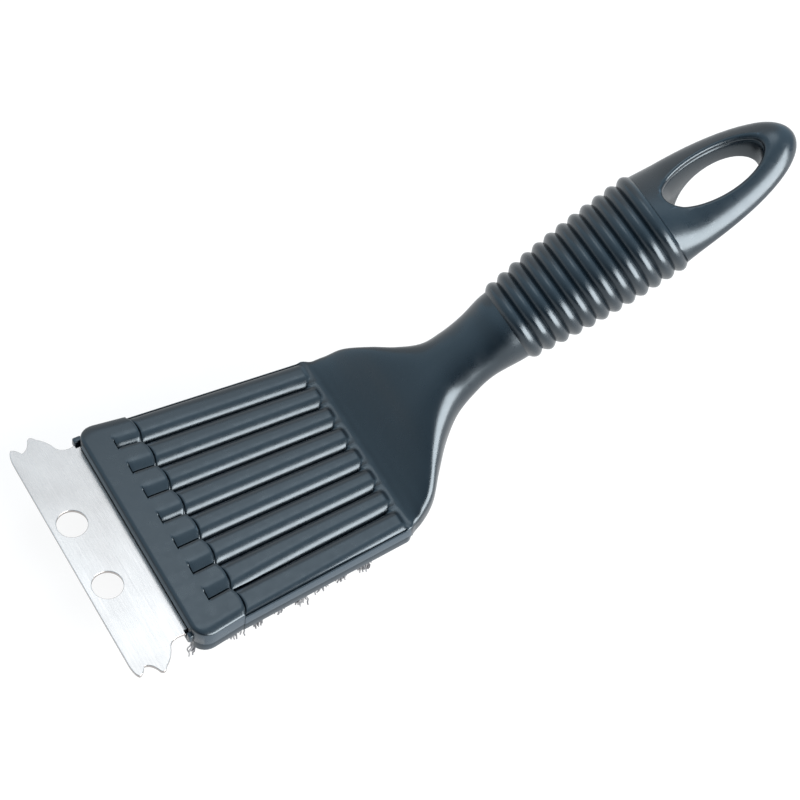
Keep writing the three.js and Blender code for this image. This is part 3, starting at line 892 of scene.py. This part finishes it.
class Nodes:
    """Short ways to add and link shader nodes."""

    def __init__(self, name):
        self.material = bpy.data.materials.new(name)
        self.material.use_nodes = True
        self.tree = self.material.node_tree
        self.shader = self.tree.nodes["Principled BSDF"]
        self.place = self.add("ShaderNodeTexCoord").outputs["Object"]

    def add(self, kind, **settings):
        node = self.tree.nodes.new(kind)
        for key, value in settings.items():
            setattr(node, key, value)
        return node

    def link(self, output, target):
        self.tree.links.new(output, target)

    def scaled(self, scale):
        node = self.add("ShaderNodeMapping")
        node.inputs["Scale"].default_value = scale
        self.link(self.place, node.inputs["Vector"])
        return node.outputs["Vector"]

    def noise(self, scale, detail=3.0, roughness=0.5, vector=None):
        node = self.add("ShaderNodeTexNoise")
        node.inputs["Scale"].default_value = scale
        node.inputs["Detail"].default_value = detail
        node.inputs["Roughness"].default_value = roughness
        self.link(vector or self.place, node.inputs["Vector"])
        return node.outputs["Fac"]

    def span(self, value, low, high, from_low=0.3, from_high=0.7):
        node = self.add("ShaderNodeMapRange")
        node.inputs["From Min"].default_value = from_low
        node.inputs["From Max"].default_value = from_high
        node.inputs["To Min"].default_value = low
        node.inputs["To Max"].default_value = high
        self.link(value, node.inputs["Value"])
        return node.outputs["Result"]

    def ramp(self, value, stops):
        node = self.add("ShaderNodeValToRGB")
        fill_ramp(node, stops)
        self.link(value, node.inputs["Fac"])
        return node.outputs["Color"]

    def mix(self, factor, color, second):
        """The colour turning into a second, plain one as the factor goes to 1."""
        node = self.add("ShaderNodeMix", data_type="RGBA")
        self.link(factor, node.inputs["Factor"])
        self.link(color, node.inputs[6])
        node.inputs[7].default_value = (*second, 1)
        return node.outputs[2]

    def bump(self, height, strength, distance, normal=None):
        node = self.add("ShaderNodeBump")
        node.inputs["Strength"].default_value = strength
        node.inputs["Distance"].default_value = distance
        self.link(height, node.inputs["Height"])
        if normal is not None:
            self.link(normal, node.inputs["Normal"])
        return node.outputs["Normal"]


def plastic_material():
    """Satin blue-black plastic, paler where its edges are rubbed."""
    n = Nodes("moulded_plastic_look")
    cloudy = n.noise(45, detail=5)
    color = n.ramp(cloudy, [(0.3, (0.0014, 0.0038, 0.0064)), (0.7, (0.0022, 0.0054, 0.0088))])
    edge = n.add("ShaderNodeNewGeometry").outputs["Pointiness"]
    worn = n.span(edge, 0.0, 0.55, 0.53, 0.62)
    n.link(n.mix(worn, color, (0.03, 0.045, 0.06)), n.shader.inputs["Base Color"])
    n.link(n.span(n.noise(380, detail=4), 0.26, 0.33), n.shader.inputs["Roughness"])
    grain = n.bump(n.noise(2600, detail=2), 0.06, 0.00005)
    waves = n.bump(n.noise(170, detail=2), 0.05, 0.0003, grain)
    n.link(waves, n.shader.inputs["Normal"])
    n.shader.inputs["IOR"].default_value = 1.6
    n.shader.inputs["Specular Tint"].default_value = (0.82, 0.93, 1.0, 1)
    return n.material


def blade_material():
    """Sheet steel, brushed along the blade."""
    n = Nodes("blade_steel_look")
    brushed = n.noise(1.0, detail=6, roughness=0.7, vector=n.scaled((5200, 60, 5200)))
    patches = n.noise(70, detail=4)
    color = n.ramp(patches, [(0.3, (0.40, 0.375, 0.36)), (0.7, (0.47, 0.445, 0.43))])
    n.link(color, n.shader.inputs["Base Color"])
    n.shader.inputs["Metallic"].default_value = 1.0
    n.link(n.span(brushed, 0.2, 0.3), n.shader.inputs["Roughness"])
    n.link(n.bump(brushed, 0.12, 0.00004), n.shader.inputs["Normal"])
    return n.material


def zinc_material():
    """Zinc plate with a faint spangle."""
    n = Nodes("zinc_plate_look")
    spangle = n.ramp(n.noise(900, detail=4), [(0.3, (0.52, 0.53, 0.55)), (0.7, (0.66, 0.67, 0.68))])
    n.link(spangle, n.shader.inputs["Base Color"])
    n.shader.inputs["Metallic"].default_value = 1.0
    n.link(n.span(n.noise(2200), 0.28, 0.45), n.shader.inputs["Roughness"])
    n.link(n.bump(n.noise(3500), 0.1, 0.00004), n.shader.inputs["Normal"])
    return n.material


def wire_material():
    """Steel wires, some duller than others."""
    n = Nodes("wire_steel_look")
    each = n.noise(700, detail=1, vector=n.scaled((1, 1, 0.08)))
    stops = [(0.32, (0.10, 0.10, 0.11)), (0.5, (0.24, 0.245, 0.26)), (0.68, (0.46, 0.46, 0.47))]
    n.link(n.ramp(each, stops), n.shader.inputs["Base Color"])
    n.shader.inputs["Metallic"].default_value = 1.0
    n.link(n.span(n.noise(1500), 0.3, 0.5), n.shader.inputs["Roughness"])
    n.link(n.bump(n.noise(6000), 0.1, 0.00002), n.shader.inputs["Normal"])
    return n.material


def floor_material():
    """A pale, evenly lit floor."""
    n = Nodes("pale_floor")
    color = n.ramp(n.noise(3), [(0.3, (0.10, 0.10, 0.10)), (0.7, (0.11, 0.11, 0.11))])
    n.link(color, n.shader.inputs["Base Color"])
    n.shader.inputs["Roughness"].default_value = 0.9
    n.shader.inputs["Emission Color"].default_value = (1, 1, 1, 1)
    n.shader.inputs["Emission Strength"].default_value = 0.88
    return n.material


# ---- studio ----------------------------------------------------------------------------------------------


LENS = 133.6
CAMERA_PLACE = Vector((-274.79, -365.91, 666.69)) * MM
CAMERA_AZIMUTH, CAMERA_ELEVATION, CAMERA_ROLL = [math.radians(a) for a in (-36.075, 54.574, 8.117)]
FLOOR_HALF, FLOOR_DROP = 4.0, 0.0005
# Lights: direction seen from the object, distance, width, height and radiance.
KEY = ((0.39, -0.845, 0.37), 1.0, 1.1, 1.0, 12.8)
OVERHEAD = ((0.183, 0.317, 0.93), 1.2, 0.42, 0.42, 2.1)
# The sky: the middle of its bright side, and its colour from the opposite place (0) to that middle (1).
# It gets brighter up to 0.92; the middle itself is a paler spot with a plain edge.
SKY_DIRECTION = (0.18, 0.86, 0.42)
SKY_STOPS = [
    (0.2, (0.0154, 0.02, 0.0236)),
    (0.92, (1.001, 1.3, 1.534)),
    (0.92, (0.91229, 0.97143, 1.01771)),
    (1.0, (1, 1, 1)),
]


def aim(obj, target, roll=0.0):
    """Points the object's -Z at the target, turned by roll about its own axis."""
    back = (obj.location - Vector(target)).normalized()
    right = Vector((0, 0, 1)).cross(back).normalized()
    up = back.cross(right)
    c, s = math.cos(roll), math.sin(roll)
    x, y = right * c + up * s, up * c - right * s
    obj.rotation_euler = Matrix((x, y, back)).transposed().to_euler()


def add_camera():
    data = bpy.data.cameras.new("camera")
    data.lens = LENS
    data.sensor_width = 36
    data.clip_end = 20
    camera = bpy.data.objects.new("camera", data)
    bpy.context.scene.collection.objects.link(camera)
    flat = math.cos(CAMERA_ELEVATION)
    back = Vector(
        (math.sin(CAMERA_AZIMUTH) * flat, -math.cos(CAMERA_AZIMUTH) * flat, math.sin(CAMERA_ELEVATION))
    )
    camera.location = CAMERA_PLACE
    aim(camera, camera.location - back, CAMERA_ROLL)
    bpy.context.scene.camera = camera


def add_area(name, direction, distance, width, height, radiance):
    """A soft light that faces the middle of the frame. Radiance is in the scene's own units."""
    data = bpy.data.lights.new(name, "AREA")
    data.shape = "RECTANGLE"
    data.size = width
    data.size_y = height
    data.energy = radiance * math.pi * width * height
    light = bpy.data.objects.new(name, data)
    light.visible_camera = False
    light.location = Vector(direction).normalized() * distance
    bpy.context.scene.collection.objects.link(light)
    aim(light, (0, 0, 0))


def sky_color(tree):
    """A soft room: brightest above the far side, dim on the near side."""
    direction = tree.nodes.new("ShaderNodeTexCoord")
    dot = tree.nodes.new("ShaderNodeVectorMath")
    dot.operation = "DOT_PRODUCT"
    dot.inputs[1].default_value = Vector(SKY_DIRECTION).normalized()
    tree.links.new(direction.outputs["Generated"], dot.inputs[0])
    half = tree.nodes.new("ShaderNodeMapRange")
    half.inputs["From Min"].default_value = -1
    tree.links.new(dot.outputs["Value"], half.inputs["Value"])
    ramp = tree.nodes.new("ShaderNodeValToRGB")
    fill_ramp(ramp, SKY_STOPS)
    tree.links.new(half.outputs["Result"], ramp.inputs["Fac"])
    return ramp.outputs["Color"]


def add_floor():
    half = FLOOR_HALF
    corners = [(-half, -half, 0), (half, -half, 0), (half, half, 0), (-half, half, 0)]
    floor = add_object("floor", corners, [(0, 1, 2, 3)])
    floor.location.z = -FLOOR_DROP
    floor.data.materials.append(floor_material())


def add_studio():
    """The room, a large softbox low on the near side, and a smaller one that the blade mirrors."""
    world = bpy.data.worlds.new("studio")
    bpy.context.scene.world = world
    world.use_nodes = True
    background = world.node_tree.nodes["Background"]
    background.inputs["Strength"].default_value = 1.0
    world.node_tree.links.new(sky_color(world.node_tree), background.inputs["Color"])
    add_area("key", *KEY)
    add_area("overhead", *OVERHEAD)
    add_floor()
    bpy.context.scene.view_settings.view_transform = "Standard"


# ---- assembly --------------------------------------------------------------------------------------------


def finish_piece(piece, material, node):
    piece.data.materials.clear()
    piece.data.materials.append(material)
    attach(piece, BODY)
    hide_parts(node)


add_camera()
finish_piece(make_body(), plastic_material(), "moulded_body")
finish_piece(make_blade(), blade_material(), "scraper_blade")
zinc = zinc_material()
for screw_name in SCREWS:
    finish_piece(make_screw(screw_name), zinc, screw_name)
chance = random.Random(7)
steel_wire = wire_material()
for tuft_name, tuft_box in tuft_boxes():
    finish_piece(make_tuft(tuft_name, tuft_box, chance), steel_wire, tuft_name)
add_studio()
